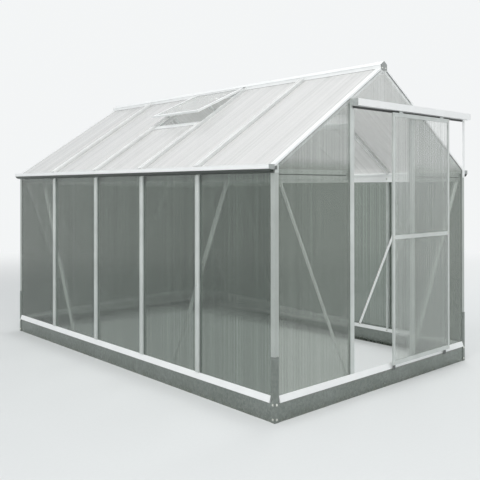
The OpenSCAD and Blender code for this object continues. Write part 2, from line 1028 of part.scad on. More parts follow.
module door_rollers() {
    in_plastic() on_door() both_sides() translate([hanger_x, track_mid, roller_z])
        for (side = [-1, 1])
            translate([0, side * (roller_gap - roller_w / 2), 0]) rotate([90, 0, 0])
                difference() {
                    cylinder(r = roller_r, h = roller_w, center = true);
                    cylinder(r = pin_r + roller_fit, h = roller_w + 1, center = true);
                }
}

// Hooks at the door's lower corners, which reach under the sill's nose
module door_guides() {
    plate_in = sill_nose + guide_run;
    toe_in = angle_t + fit + guide_run;
    toe_top = base_h - guide_run;
    in_plastic() on_door()
        for (x = [guide_near - door_w / 2, door_w / 2 - guide_far - guide_w])
            translate([x, 0, 0]) {
                box([0, plate_in, toe_top - guide_t],
                    [guide_w, plate_in + guide_t, door_foot - fit]);
                box([0, toe_in, toe_top - guide_t], [guide_w, plate_in, toe_top]);
            }
}

side_base_rails();
gable_base_rails();
base_corner_angles();
side_sills();
gable_sills();
corner_posts();
left_wall_posts();
right_wall_posts();
door_jambs();
back_gable_posts();
left_eave_gutter();
right_eave_gutter();
gutter_end_caps();
front_gable_ties();
back_gable_tie();
door_head();
front_rafters();
back_rafters();
left_roof_bars();
right_roof_bars();
ridge_beam();
ridge_end_plates();
vent_cross_bars();
left_wall_panels();
right_wall_panels();
front_gable_panels();
back_gable_panels();
left_roof_panels();
right_roof_panels();
side_wall_braces();
gable_braces();
vent_frames();
vent_panes();
vent_stays();
door_track();
track_end_caps();
track_strut();
door_frame();
door_panes();
door_hangers();
door_rollers();
door_guides();
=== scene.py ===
"""Looks of the polycarbonate greenhouse: sheet, metal and plastic finishes and its small fittings."""

import math

import bpy
import numpy as np
from mathutils import Matrix, Vector


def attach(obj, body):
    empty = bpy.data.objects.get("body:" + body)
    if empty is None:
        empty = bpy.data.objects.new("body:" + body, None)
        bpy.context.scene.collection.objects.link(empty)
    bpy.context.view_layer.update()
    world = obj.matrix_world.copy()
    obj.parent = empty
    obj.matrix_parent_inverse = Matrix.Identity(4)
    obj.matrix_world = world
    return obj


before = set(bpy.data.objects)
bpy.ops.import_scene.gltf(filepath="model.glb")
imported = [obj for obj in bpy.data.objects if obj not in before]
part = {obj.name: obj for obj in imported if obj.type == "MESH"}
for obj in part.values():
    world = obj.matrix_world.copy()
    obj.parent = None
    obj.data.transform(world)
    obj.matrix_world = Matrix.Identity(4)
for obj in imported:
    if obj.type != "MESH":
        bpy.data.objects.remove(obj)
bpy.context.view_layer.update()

# ---- Places shared with the source, in metres ----

wall_x = 0.95
front_y, back_y = -1.5529, 1.5871
eave_z, ridge_z = 1.357, 1.992
pitch = math.atan2(ridge_z - eave_z, wall_x)
slope_length = wall_x / math.cos(pitch)

# Each side with its sign on X, and each end with its sign and place on Y
sides = (("left", -1), ("right", 1))
ends = (("front", -1, front_y), ("back", 1, back_y))

# The long walls' bays from the front, the posts between them and the two posts beside each slope's vent
bays = np.array([0.650, 0.595, 0.595, 0.650, 0.650])
post_y = front_y + np.cumsum(bays)[:-1]
vent_posts = {"left": [1, 2], "right": [0, 1]}

# Depths of the upstands' and braces' inner faces in the wall, and how far angles and plates stand off it
upstand_face, brace_face, plate_rise = 0.0302, 0.0324, 0.0022

# A long wall's brace: distances of its ends from the corner, and their heights
brace_head, brace_foot = 0.395, 0.920
brace_top_z, brace_low_z = 1.3052, 0.1225

# A gable's brace: distances of its ends from the middle
gable_brace_foot, gable_brace_head = 0.3260, 0.8998

# Front faces of the door's frame, the track's strut and the ties
door_y, strut_y, tie_y = -1.5811, -1.5591, -1.5247

flute_pitch = 0.0057
backdrop = (0.90, 0.915, 0.92)


# ---- Nodes ----

class Nodes:
    """A node tree that is wired with short calls. An input is a value or another node's socket."""

    def __init__(self, tree):
        self.tree = tree
        self.tree.nodes.clear()

    def put(self, socket, value):
        if isinstance(value, bpy.types.NodeSocket):
            self.tree.links.new(value, socket)
        elif value is not None:
            socket.default_value = value

    def node(self, kind, *values, setup=None, **named):
        """A node with its inputs filled in order or by name, with an underscore for each space."""
        n = self.tree.nodes.new("ShaderNode" + kind)
        for key, value in (setup or {}).items():
            setattr(n, key, value)
        for socket, value in zip(n.inputs, values):
            self.put(socket, value)
        for key, value in named.items():
            self.put(n.inputs[key.replace("_", " ")], value)
        return n

    def calc(self, operation, a, b=None, clamp=False):
        """The result of one sum, such as "COSINE" of a or "MAXIMUM" of a and b."""
        return self.node("Math", a, b, setup={"operation": operation, "use_clamp": clamp}).outputs[0]

    def add(self, a, b):
        return self.calc("ADD", a, b)

    def times(self, a, b):
        return self.calc("MULTIPLY", a, b)

    def blend(self, share, first, second):
        """A shader between two others."""
        return self.node("MixShader", share, first, second).outputs[0]


class Finish(Nodes):
    """A material around one principled surface."""

    def __init__(self, name):
        self.material = bpy.data.materials.new(name)
        self.material.use_nodes = True
        super().__init__(self.material.node_tree)
        self.surface = self.node("BsdfPrincipled")
        self.out = self.node("OutputMaterial", Surface=self.surface.outputs[0])
        self.place = self.node("TexCoord").outputs["Object"]

    def axis(self, letter, place=None):
        return self.node("SeparateXYZ", self.place if place is None else place).outputs["XYZ".index(letter)]

    def joined(self, x, y, z):
        return self.node("CombineXYZ", x, y, z).outputs[0]

    def scaled(self, place, scale):
        return self.node("Mapping", Vector=place, Scale=scale).outputs[0]

    def noise(self, place, scale, detail=3.0, rough=0.5):
        return self.node("TexNoise", Vector=place, Scale=scale, Detail=detail, Roughness=rough).outputs["Fac"]

    def cells(self, place, scale):
        """Three random values for each cell, as a colour."""
        return self.node("TexVoronoi", Vector=place, Scale=scale).outputs["Color"]

    def span(self, value, low, high, to_low=0.0, to_high=1.0, way="LINEAR"):
        """Maps a value from one range to another and holds it there."""
        return self.node("MapRange", Value=value, From_Min=low, From_Max=high, To_Min=to_low, To_Max=to_high,
                         setup={"interpolation_type": way}).outputs[0]

    def mixed(self, share, a, b):
        """A colour between a and b."""
        n = self.node("Mix", share, setup={"data_type": "RGBA"})
        for socket, colour in ((n.inputs[6], a), (n.inputs[7], b)):
            self.put(socket, colour if isinstance(colour, bpy.types.NodeSocket) else (*colour, 1.0))
        return n.outputs[2]

    def dimmed(self, colour, factor):
        """A colour times one factor."""
        return self.node("VectorMath", colour, setup={"operation": "SCALE"}, Scale=factor).outputs[0]

    def relief(self, height, distance, strength):
        self.set(Normal=self.node("Bump", Strength=strength, Distance=distance, Height=height).outputs[0])

    def set(self, **values):
        for key, value in values.items():
            self.put(self.surface.inputs[key.replace("_", " ")], value)


# ---- Metal and plastic ----

def along(finish, run):
    """Coordinates whose third axis follows the run: an axis, or the roof's slope.

    On the slope the run is |x| cos(pitch) - z sin(pitch), and the height over it is
    |x| sin(pitch) + z cos(pitch), so both slopes share one pattern.
    """
    x, y, z = (finish.axis(c) for c in "XYZ")
    if run == "x":
        return finish.joined(y, z, x)
    if run == "y":
        return finish.joined(z, x, y)
    if run == "z":
        return finish.joined(x, y, z)
    level = finish.calc("ABSOLUTE", x)
    cos, sin = math.cos(pitch), math.sin(pitch)
    down = finish.calc("SUBTRACT", finish.times(level, cos), finish.times(z, sin))
    over = finish.add(finish.times(level, sin), finish.times(z, cos))
    return finish.joined(over, y, down)


def mill_aluminium(name, run, tone, metal, uneven=1.0):
    """Extruded aluminium: fine die lines along the run, cloudy oxide and a few handling marks."""
    f = Finish(name)
    place = along(f, run)
    lines = f.noise(f.scaled(place, (900, 900, 2.5)), 1.0, 2.0)
    streak = f.noise(f.scaled(place, (60, 60, 0.9)), 1.0, 4.0, 0.6)
    cloud = f.noise(place, 7.0, 5.0, 0.6)
    marks = f.noise(place, 38.0, 3.0, 0.7)
    light = tuple(min(1.0, c * (1 + 0.08 * uneven)) for c in tone)
    dark = tuple(c * (1 - 0.13 * uneven) for c in tone)
    worn = f.mixed(f.span(cloud, 0.32, 0.68), dark, light)
    worn = f.mixed(f.span(streak, 0.55, 0.80, 0.0, 0.35 * uneven), worn, tuple(c * 0.80 for c in tone))
    spots = f.span(marks, 0.66, 0.78, 0.0, 0.30 * uneven)
    f.set(Base_Color=f.mixed(spots, worn, (0.52, 0.54, 0.53)), Metallic=metal,
          Roughness=f.add(f.span(cloud, 0.3, 0.7, 0.34, 0.44), f.span(streak, 0.3, 0.7, -0.04, 0.06)))
    f.relief(f.add(f.times(lines, 0.6), f.times(streak, 0.4)), 0.00012, 0.7)
    return f.material


def galvanised_steel(name):
    """Bright zinc coat: leafy crystals that differ in tone and gloss, with dull runs near the ground."""
    f = Finish(name)
    warp = f.noise(f.place, 40.0, 2.0)
    reach = {"X": 0.012, "Y": 0.012, "Z": 0.009}
    place = f.joined(*(f.add(f.axis(c), f.times(warp, reach[c])) for c in "XYZ"))
    leaf = f.axis("X", f.cells(place, 75.0))
    fine = f.axis("Y", f.cells(place, 170.0))
    cloud = f.noise(f.place, 3.2, 5.0, 0.6)
    near_ground = f.span(f.axis("Z"), 0.0, 0.035, 1.0, 0.0)
    splash = f.times(near_ground, f.span(f.noise(f.place, 26.0, 4.0, 0.7), 0.42, 0.62))
    tone = f.mixed(f.span(leaf, 0.0, 1.0), (0.215, 0.238, 0.220), (0.290, 0.315, 0.297))
    tone = f.mixed(f.span(fine, 0.0, 1.0, 0.0, 0.15), tone, (0.37, 0.39, 0.375))
    tone = f.mixed(f.span(cloud, 0.35, 0.7, 0.0, 0.45), tone, (0.165, 0.190, 0.165))
    tone = f.mixed(f.times(splash, 0.35), tone, (0.16, 0.165, 0.11))
    f.set(Base_Color=tone, Metallic=0.9,
          Roughness=f.add(f.span(leaf, 0.0, 1.0, 0.14, 0.22), f.times(splash, 0.3)))
    wave = f.noise(f.place, 9.0, 1.0)
    f.relief(f.add(f.times(leaf, 0.12), f.times(wave, 14.0)), 0.00012, 0.6)
    return f.material


def moulded_plastic(name, tone=(0.13, 0.14, 0.135)):
    """Moulded grey nylon with a fine spark texture and dusty patches."""
    f = Finish(name)
    grain = f.noise(f.place, 900.0, 2.0)
    dust = f.noise(f.place, 45.0, 4.0, 0.65)
    f.set(Base_Color=f.mixed(f.span(dust, 0.40, 0.75, 0.0, 0.5), tone, tuple(c * 1.6 + 0.03 for c in tone)),
          Roughness=f.span(dust, 0.3, 0.7, 0.42, 0.62))
    f.relief(grain, 0.00010, 0.5)
    return f.material


def zinc_plate(name):
    """Plated bolts: bright, a little yellowed and dull in patches."""
    f = Finish(name)
    patch = f.noise(f.place, 160.0, 3.0)
    f.set(Base_Color=f.mixed(f.span(patch, 0.35, 0.65), (0.78, 0.79, 0.76), (0.60, 0.60, 0.55)),
          Metallic=0.9, Roughness=f.span(patch, 0.3, 0.7, 0.20, 0.38))
    f.relief(f.noise(f.place, 600.0, 2.0), 0.00006, 0.5)
    return f.material


# ---- Twin-wall sheet ----

def twin_wall(name, across, clear, milky=(0.60, 0.64, 0.61), haze=0.035, glow=0.02, uneven=1.0, gloss=0.25,
              painted_light_bands=()):
    """Clear twin-wall sheet. Ribs stand a flute pitch apart across the sheet, so the wave is
    cos(2 pi c / pitch), with c the distance across the flutes. They are milky lines that scatter
    light, and the skins between them sink a little, which streaks what shows through. Every fourth
    flute is a little denser, as the die leaves it. The band tints are painted light: they come in one
    after another, each between two heights, and make the sheet lighter upwards, as it is brighter
    under the roof."""
    f = Finish(name)
    c = f.axis(across)
    other = f.axis("Y" if across == "X" else "X")
    wave = f.calc("COSINE", f.times(c, 2 * math.pi / flute_pitch))
    group = f.calc("COSINE", f.times(c, 2 * math.pi / (4 * flute_pitch)))
    rib = f.span(wave, 0.70, 0.98)

    def streaks(width, detail=3.0):
        """Uneven draw lines of about this width that run on for metres."""
        run = f.joined(f.calc("DIVIDE", c, width), f.times(f.axis("Z"), 0.10), f.times(other, 0.10))
        return f.noise(run, 1.0, detail, 0.6)

    fine, broad = streaks(0.018, 1.5), streaks(0.110)
    cloud = f.noise(f.place, 2.6, 4.0, 0.55)
    dust = f.noise(f.place, 30.0, 4.0, 0.7)

    # Painted light: each band makes the sheet's tint lighter from one height to the next
    for from_z, to_z, tint in painted_light_bands:
        clear = f.mixed(f.span(f.axis("Z"), from_z, to_z), clear, tint)
    thread = f.add(f.span(fine, 0.34, 0.66, 1 - 0.20 * uneven, 1 + 0.24 * uneven),
                   f.times(group, 0.09 * uneven))
    tone = f.mixed(f.span(broad, 0.35, 0.70, 0.0, 0.10 * uneven), f.dimmed(clear, thread), milky)
    tone = f.mixed(f.span(rib, 0.0, 1.0, 0.0, 0.35), tone, milky)
    hazy = f.add(f.add(f.span(fine, 0.35, 0.65, haze * (1 - 0.7 * uneven), haze * (1 + 0.5 * uneven)),
                       f.span(broad, 0.35, 0.70, 0.0, haze * 0.4)),
                 f.add(f.span(dust, 0.5, 0.8, 0.0, 0.04), f.times(rib, 0.10)))
    f.set(Base_Color=tone, IOR=1.5, Specular_IOR_Level=gloss,
          Transmission_Weight=f.calc("SUBTRACT", 1.0, hazy, clamp=True),
          Roughness=f.add(f.span(cloud, 0.3, 0.7, 0.012, 0.028), f.span(dust, 0.5, 0.8, 0.0, 0.02)))
    f.relief(f.add(wave, f.times(broad, 1.5)), 0.00010, 0.4)

    # The ribs glow with the light that they scatter, and light falls into the house through the sheets
    scatter = f.node("BsdfTranslucent", Color=(*milky, 1.0)).outputs[0]
    shown = f.blend(f.add(glow, f.times(rib, 0.06)), f.surface.outputs[0], scatter)
    passed = f.node("BsdfTransparent", Color=(0.975, 0.98, 0.975, 1.0)).outputs[0]
    rays = f.node("LightPath")
    for kind in ("Is Diffuse Ray", "Is Shadow Ray"):
        shown = f.blend(rays.outputs[kind], shown, passed)
    f.put(f.out.inputs["Surface"], shown)
    return f.material


# ---- Studio ----

def mesh_piece(name, points, faces, smooth_under=None):
    """A mesh object at the origin from point and face arrays."""
    mesh = bpy.data.meshes.new(name)
    mesh.from_pydata(np.asarray(points).tolist(), [], faces)
    mesh.validate()
    if smooth_under is not None:
        mesh.shade_smooth()
        mesh.set_sharp_from_angle(angle=math.radians(smooth_under))
    piece = bpy.data.objects.new(name, mesh)
    bpy.context.scene.collection.objects.link(piece)
    return piece


def studio_camera():
    """A level view onto the left wall and the door gable, turned from +Y towards +X: it looks along
    (sin(turn) cos(tip), cos(turn) cos(tip), sin(tip)), and lean turns it about that line."""
    turn, tip, lean = np.radians([42.851, 0.088, -0.052])
    ahead = np.array([math.sin(turn) * math.cos(tip), math.cos(turn) * math.cos(tip), math.sin(tip)])
    side = np.array([math.cos(turn), -math.sin(turn), 0.0])
    up = np.cross(side, ahead)
    side, up = math.cos(lean) * side + math.sin(lean) * up, math.cos(lean) * up - math.sin(lean) * side
    data = bpy.data.cameras.new("studio_camera")
    data.sensor_width, data.lens = 36.0, 50.26725
    data.shift_x, data.shift_y = -0.03125, -0.11027
    data.clip_start, data.clip_end = 0.05, 300.0
    camera = bpy.data.objects.new("studio_camera", data)
    bpy.context.scene.collection.objects.link(camera)
    rows = zip(np.stack([side, up, -ahead], 1).tolist(), (-3.4067, -4.0506, 1.2315))
    camera.matrix_world = Matrix([(*row, spot) for row, spot in rows] + [(0, 0, 0, 1)])
    bpy.context.scene.camera = camera


def studio_world():
    """A soft sky gives the light. Rays from the camera, mirrored or through a sheet meet the backdrop."""
    world = bpy.data.worlds.new("studio")
    bpy.context.scene.world = world
    world.use_nodes = True
    w = Nodes(world.node_tree)
    lit = w.node("Background", Color=(0.93, 0.97, 1.0, 1), Strength=0.50)
    seen = w.node("Background", Color=(*backdrop, 1), Strength=1.0)
    rays = w.node("LightPath")
    direct = w.calc("MAXIMUM", rays.outputs["Is Camera Ray"], rays.outputs["Is Glossy Ray"])
    direct = w.calc("MAXIMUM", direct, rays.outputs["Is Transmission Ray"])
    w.node("OutputWorld", Surface=w.blend(direct, lit.outputs[0], seen.outputs[0]))


def softbox(name, spot, aim, size, power):
    """A square area lamp turned from its spot to its aim."""
    data = bpy.data.lights.new(name, "AREA")
    data.shape, data.size, data.energy = "SQUARE", size, power
    lamp = bpy.data.objects.new(name, data)
    bpy.context.scene.collection.objects.link(lamp)
    lamp.location = spot
    lamp.rotation_euler = (Vector(aim) - Vector(spot)).to_track_quat("-Z", "Y").to_euler()


def floor_disc():
    """Radius r and turn a give (r cos a, r sin a, 0); the rings widen outwards."""
    count = 96
    radii, turns = np.array([3.0, 8.0, 20.0, 60.0]), np.linspace(0, 2 * np.pi, count, endpoint=False)
    r, a = np.meshgrid(radii, turns, indexing="ij")
    points = np.vstack([np.zeros((1, 3)), np.stack([r * np.cos(a), r * np.sin(a), 0 * r], -1).reshape(-1, 3)])
    here = 1 + np.arange(count)
    after = np.roll(here, -1)
    faces = np.stack([0 * here, here, after], 1).tolist()
    for inner in range(0, (len(radii) - 1) * count, count):
        outer = inner + count
        faces += np.stack([inner + here, outer + here, outer + after, inner + after], 1).tolist()
    disc = mesh_piece("floor", points, faces)
    return disc


def studio_floor(name, tone=(0.74, 0.75, 0.745)):
    """Pale floor that fades into the backdrop with the distance from the middle, sqrt(x^2 + y^2)."""
    f = Finish(name)
    far = f.calc("SQRT", f.add(f.calc("POWER", f.axis("X"), 2.0), f.calc("POWER", f.axis("Y"), 2.0)))
    speck = f.noise(f.place, 60.0, 3.0)
    f.set(Base_Color=f.mixed(f.span(speck, 0.3, 0.7), tuple(c * 0.985 for c in tone), tone), Roughness=0.85)
    glow = f.node("Emission", Color=(*backdrop, 1.0)).outputs[0]
    shown = f.blend(f.span(far, 3.0, 9.0, way="SMOOTHSTEP"), f.surface.outputs[0], glow)
    f.put(f.out.inputs["Surface"], shown)
    return f.material


# ---- Shapes of the fittings ----

# Radius, height and whether the ring is six-sided, from the seat up to the middle of each kind of head
heads = {
    "hex": [(0.0, 0.0, 0), (0.0068, 0.0, 0), (0.0070, 0.0004, 0), (0.0070, 0.0009, 0), (0.0055, 0.0011, 1),
            (0.0055, 0.0036, 1), (0.0049, 0.0042, 1), (0.0030, 0.0043, 0), (0.0028, 0.0037, 0),
            (0.0, 0.0036, 0)],
    "nut": [(0.0, 0.0, 0), (0.0066, 0.0, 0), (0.0068, 0.0007, 0), (0.0056, 0.0009, 1), (0.0056, 0.0044, 1),
            (0.0050, 0.0050, 1), (0.0032, 0.0050, 0), (0.0029, 0.0047, 0), (0.0029, 0.0068, 0),
            (0.0022, 0.0074, 0), (0.0, 0.0074, 0)],
    "pan": [(0.0, 0.0, 0), (0.0044, 0.0, 0), (0.0045, 0.0004, 0), (0.0041, 0.0013, 0), (0.0031, 0.0020, 0),
            (0.0016, 0.0023, 0), (0.0014, 0.0016, 0), (0.0, 0.0015, 0)],
}


def grid_of(*axes):
    """Every combination of the given coordinates, one row each."""
    return np.stack(np.meshgrid(*[np.atleast_1d(a) for a in axes], indexing="ij"), -1).reshape(-1, 3)


def fitting(name, points, faces, finish, body, smooth_under=None):
    """A mesh with its finish, on its body and in its material slot."""
    piece = mesh_piece(name, points, faces, smooth_under)
    piece.data.materials.append(finish)
    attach(piece, body)


def fasteners(name, kind, seats, outward, body="shell"):
    """Turned heads on their seats, each with its axis along the outward way. At turn a, ring i stands at
    r_i g(a), where g is 1 on a round ring and cos(30) / cos((a mod 60) - 30) on a six-sided one."""
    count = 18
    r, h, six = (np.array(v, float) for v in zip(*heads[kind]))
    a = np.linspace(0, 2 * np.pi, count, endpoint=False)
    flat = np.cos(np.pi / 6) / np.cos(np.mod(a, np.pi / 3) - np.pi / 6)
    g = 1 + six[:, None] * (flat[None, :] - 1)
    ring = np.stack([r[:, None] * g * np.cos(a), r[:, None] * g * np.sin(a), h[:, None] + 0 * g], -1)
    head = np.vstack([[0, 0, h[0]], ring[1:-1].reshape(-1, 3), [0, 0, h[-1]]])
    rings, k = len(r) - 2, np.arange(count)
    after = (k + 1) % count
    last = 1 + (rings - 1) * count
    foot = np.stack([0 * k, 1 + after, 1 + k], 1)
    top = np.stack([0 * k + last + count, last + k, last + after], 1)
    i = np.arange(rings - 1)[:, None] * count + 1
    wall = np.stack([i + k, i + after, i + count + after, i + count + k], -1).reshape(-1, 4)

    seats, outward = (np.asarray(v, float).reshape(-1, 3) for v in (seats, outward))
    outward = np.broadcast_to(outward, seats.shape) / np.linalg.norm(outward, axis=-1, keepdims=True)
    helper = np.where(np.abs(outward[:, 2:3]) < 0.9, [[0.0, 0.0, 1.0]], [[1.0, 0.0, 0.0]])
    u = np.cross(helper, outward)
    u /= np.linalg.norm(u, axis=1, keepdims=True)
    v = np.cross(outward, u)
    spin = 1.7 * np.arange(len(seats))[:, None]
    u, v = np.cos(spin) * u + np.sin(spin) * v, np.cos(spin) * v - np.sin(spin) * u
    points = seats[:, None]
    for axis, way in enumerate((u, v, outward)):
        points = points + head[:, axis, None] * way[:, None]
    shift = np.arange(len(seats))[:, None, None] * len(head)
    faces = [f for group in (foot, top, wall) for f in (shift + group).reshape(-1, group.shape[1]).tolist()]
    fitting(name, points.reshape(-1, 3), faces, zinc, body, 35)


def strip(name, outline, start, stop, across, up, finish):
    """A closed outline carried straight along each run: the point at share q of the run is
    start + q (stop - start) + a across + b up, for each outline point (a, b). Both ends are closed."""
    outline = np.asarray(outline, float)
    start, stop = (np.asarray(v, float).reshape(-1, 3) for v in (start, stop))
    across, up = (np.broadcast_to(np.asarray(v, float), start.shape) for v in (across, up))
    n, k = len(outline), np.arange(len(outline))
    section = outline[:, 0, None] * across[:, None] + outline[:, 1, None] * up[:, None]
    points = np.stack([start[:, None] + section, stop[:, None] + section], 1).reshape(-1, 3)
    way = np.einsum("ij,ij->i", np.cross(across, up), stop - start)
    area = np.sum(outline[:, 0] * np.roll(outline[:, 1], -1) - np.roll(outline[:, 0], -1) * outline[:, 1])
    walls = np.stack([k, (k + 1) % n, n + (k + 1) % n, n + k], 1)
    faces = []
    for i in range(len(start)):
        first = i * 2 * n
        run = (first + walls).tolist() + [(first + k[::-1]).tolist(), (first + n + k).tolist()]
        faces += [f[::-1] for f in run] if way[i] * area < 0 else run
    fitting(name, points, faces, finish, "shell")


def channel(width, height, lip=0.003, deep=0.0030):
    """Outline of a cover strip: a shallow channel whose two rounded lips stand up at its edges. One half
    is written, and each of its points (a, b) gives (-a, b) on the other."""
    half = width / 2
    near = [(half, 0), (half, height - 0.0015), (half - 0.0008, height - 0.0004), (half - 0.002, height),
            (half - lip + 0.001, height), (half - lip, height - 0.0012), (half - lip, height - deep)]
    return near + [(-a, b) for a, b in near[::-1]]


# ---- Fittings ----

def angle_bolts():
    """Bolts of the corner angles, one over the other on each of their faces."""
    levels = [0.018, 0.095]
    for end, way, y in ends:
        face_y = y + way * plate_rise
        fasteners(f"{end}_angle_bolts", "hex", grid_of([-0.9382, 0.9382], face_y, levels), (0, way, 0))
        for side, s in sides:
            seats = grid_of(s * (wall_x + plate_rise), face_y - way * 0.014, levels)
            fasteners(f"{end}_{side}_angle_bolts", "hex", seats, (s, 0, 0))


def frame_nuts():
    """Nuts inside, where posts and braces are bolted to the upstands. A wall's back brace is its front
    one mirrored, with y = front + back - y, and a gable's left brace is its right one with x = -x."""
    head, foot = [front_y + brace_head + 0.005, 1.294], [front_y + brace_foot - 0.005, 0.134]
    pairs = np.array([head, foot] + [[front_y + back_y - y, z] for y, z in (head, foot)])
    for side, s in sides:
        posts = grid_of(s * (wall_x - upstand_face), post_y, [0.1185, 1.303])
        fasteners(f"{side}_post_nuts", "nut", posts, (-s, 0, 0))
        fasteners(f"{side}_brace_nuts", "nut", np.insert(pairs, 0, s * (wall_x - brace_face), 1), (-s, 0, 0))
    pairs = np.array([[s * x, z] for s in (1, -1) for x, z in ((0.331, 0.134), (0.8945, 1.294))])
    for end, way, y in ends:
        fasteners(f"{end}_brace_nuts", "nut", np.insert(pairs, 1, y - way * brace_face, 1), (0, -way, 0))


def screws():
    """Screws of the door's rails, the ridge plates and the strut, and of the long walls' covers, where
    they stand in groups at the foot, half way and under the eave."""
    rails = grid_of([0.067, 0.697], door_y, [0.141, 0.917, 0.929, 1.690])
    fasteners("door_rail_screws", "pan", rails, (0, -1, 0), "door")
    for end, way, y in ends:
        seats = grid_of([-0.016, 0.016], y + way * plate_rise, 1.974)
        fasteners(f"{end}_ridge_screws", "pan", seats, (0, way, 0))
    fasteners("strut_screws", "pan", grid_of(0.938, strut_y, [1.318, 1.700]), (0, -1, 0))
    for side, s in sides:
        seats = grid_of(s * (wall_x + 0.0060), post_y, [0.165, 0.655, 0.677, 1.210, 1.243, 1.276])
        fasteners(f"{side}_cover_screws", "pan", seats, (s, 0, 0))


def bar_covers():
    """Cover strips that stand on the bars of the long walls and of the roof. The point q up the slope
    lies at eave + q rise, with rise = (-s cos(pitch), 0, sin(pitch)). Beside a vent only the half of a
    bar that is away from its leaf is covered."""
    half = [(-0.002, 0.0), (0.018, 0.0), (0.018, 0.0175), (0.0172, 0.0186), (0.016, 0.019), (0.0145, 0.019),
            (0.0135, 0.0178), (0.0135, 0.0145), (0.0, 0.0145), (-0.002, 0.0130)]
    under_ridge, under_leaf = slope_length - 0.0462, slope_length - 0.5560
    for side, s in sides:
        foot = grid_of(s * wall_x, post_y, 0.1404)
        strip(f"{side}_post_covers", channel(0.036, 0.009), foot, foot + [0, 0, 1.1665], (0, 1, 0), (s, 0, 0),
              metal["z"])
        rise = np.array([-s * math.cos(pitch), 0, math.sin(pitch)])
        over = np.array([s * math.sin(pitch), 0, math.cos(pitch)])
        eave = grid_of(s * wall_x, post_y, eave_z) + 0.0002 * over
        top = np.full((len(eave), 1), under_ridge)
        top[vent_posts[side]] = under_leaf
        strip(f"{side}_roof_bar_covers", channel(0.040, 0.019, 0.0060, 0.0035), eave - 0.0118 * rise,
              eave + top * rise, (0, 1, 0), over, bar)
        beside, away = eave[vent_posts[side]], [[0, -1, 0], [0, 1, 0]]
        strip(f"{side}_vent_bar_covers", half, beside + under_leaf * rise, beside + under_ridge * rise, away,
              over, bar)


def ridge_skirts():
    """Skirts close the slot under the ridge's raised cap, except over the vents, whose leaves hang there.
    The point at reach x lies at z = ridge + rise / cos(pitch) - x tan(pitch)."""
    skirt = np.array([(0.0310, 0.0023), (0.0335, 0.0023), (0.0335, 0.0189), (0.0310, 0.0189)])
    skirt[:, 1] = skirt[:, 1] / math.cos(pitch) - skirt[:, 0] * math.tan(pitch)
    for side, s in sides:
        near, far = post_y[vent_posts[side]]
        start = [[0, y, ridge_z] for y in (front_y + 0.0005, far)]
        stop = [[0, y, ridge_z] for y in (near, back_y - 0.0005)]
        strip(f"{side}_ridge_skirts", skirt, start, stop, (s, 0, 0), (0, 0, 1), bright["y"])


def gutter_coves():
    """Under each gutter a curved cover that hides the post heads: a quarter turn from the gutter's outer
    foot to the wall's face, (across, up) = (reach (1 - cos t), -drop sin t), t from 0 to 90 degrees."""
    t = np.linspace(0, np.pi / 2, 9)
    reach, drop = 0.0385, 0.0195
    outside = np.stack([reach * (1 - np.cos(t)), -drop * np.sin(t)], 1)
    inside = np.stack([outside[:, 0] + 0.0016 * np.cos(t) + 0.0002, outside[:, 1] + 0.0018 * np.sin(t)], 1)
    cove = np.vstack([outside, inside[::-1]])
    for side, s in sides:
        start, stop = ([s * 0.9900, y, 1.3308] for y in (front_y + 0.0005, back_y - 0.0005))
        # Painted shade: the coves are near black, as the shade under the gutter
        strip(f"{side}_gutter_coves", cove, start, stop, (-s, 0, 0), (0, 0, 1), painted_shade)


def eave_corners():
    """Connectors close the wedge between the corner posts and the rafters; a block caps each. Both are
    outlines in X and Z, drawn for the right side and turned over on the left, carried outwards on Y."""
    wedge = np.array([(-0.0295, 0.0), (-0.0005, 0.0), (-0.0005, 0.0285), (-0.0295, 0.0480)])
    block = np.array([(-0.0150, 0.0160), (-0.0005, 0.0160), (-0.0005, 0.0330), (-0.0040, 0.0350),
                      (-0.0150, 0.0350)])
    for end, way, y in ends:
        for side, s in sides:
            corner = np.array([s * wall_x, y, 1.3130])
            strip(f"{end}_{side}_eave_connector", wedge * [s, 1], corner, corner + [0, way * 0.0015, 0],
                  (1, 0, 0), (0, 0, 1), metal["z"])
            strip(f"{end}_{side}_eave_block", block * [s, 1], corner + [0, way * 0.0016, 0],
                  corner + [0, way * 0.0048, 0], (1, 0, 0), (0, 0, 1), nylon)


def brace_lips():
    """The second leg of each brace's angle bar, which stops short of the bar that it crosses. On a long
    wall the middle line at height z lies at y = head + (top - z) lean, and the back pair is its mirror.
    On a gable it lies at x = foot + share (head - foot), with share the part of its height below z."""
    lip = [(-0.001, 0.0), (0.001, 0.0), (0.001, 0.0150), (-0.001, 0.0150)]
    low_z, top_z = 0.1435, 1.2745
    edge, clear_of_bar = 0.0098, 0.028
    tall = brace_top_z - brace_low_z
    lean = (brace_foot - brace_head) / tall
    crossing = brace_top_z - (bays[0] - brace_head) / lean
    share = (np.array([low_z, top_z]) - brace_low_z) / tall
    gable_x = gable_brace_foot + share * (gable_brace_head - gable_brace_foot) + edge
    for end, way, y in ends:
        gap = crossing - way * edge / lean
        runs = np.array([[low_z, gap - clear_of_bar], [gap + clear_of_bar, top_z]])
        middle = front_y + brace_head + (brace_top_z - runs) * lean
        wall_y = (front_y + back_y - middle if end == "back" else middle) + edge
        for side, s in sides:
            face_x = np.full(2, s * (wall_x - brace_face))
            start, stop = (np.stack([face_x, wall_y[:, i], runs[:, i]], 1) for i in (0, 1))
            strip(f"{end}_{side}_brace_lips", lip, start, stop, (0, 1, 0), (s, 0, 0), brace["y"])
        face_y = y - way * brace_face
        start, stop = ([[s * x, face_y, z] for _, s in sides] for x, z in zip(gable_x, (low_z, top_z)))
        strip(f"{end}_gable_brace_lips", lip, start, stop, (1, 0, 0), (0, way, 0), brace["x"])


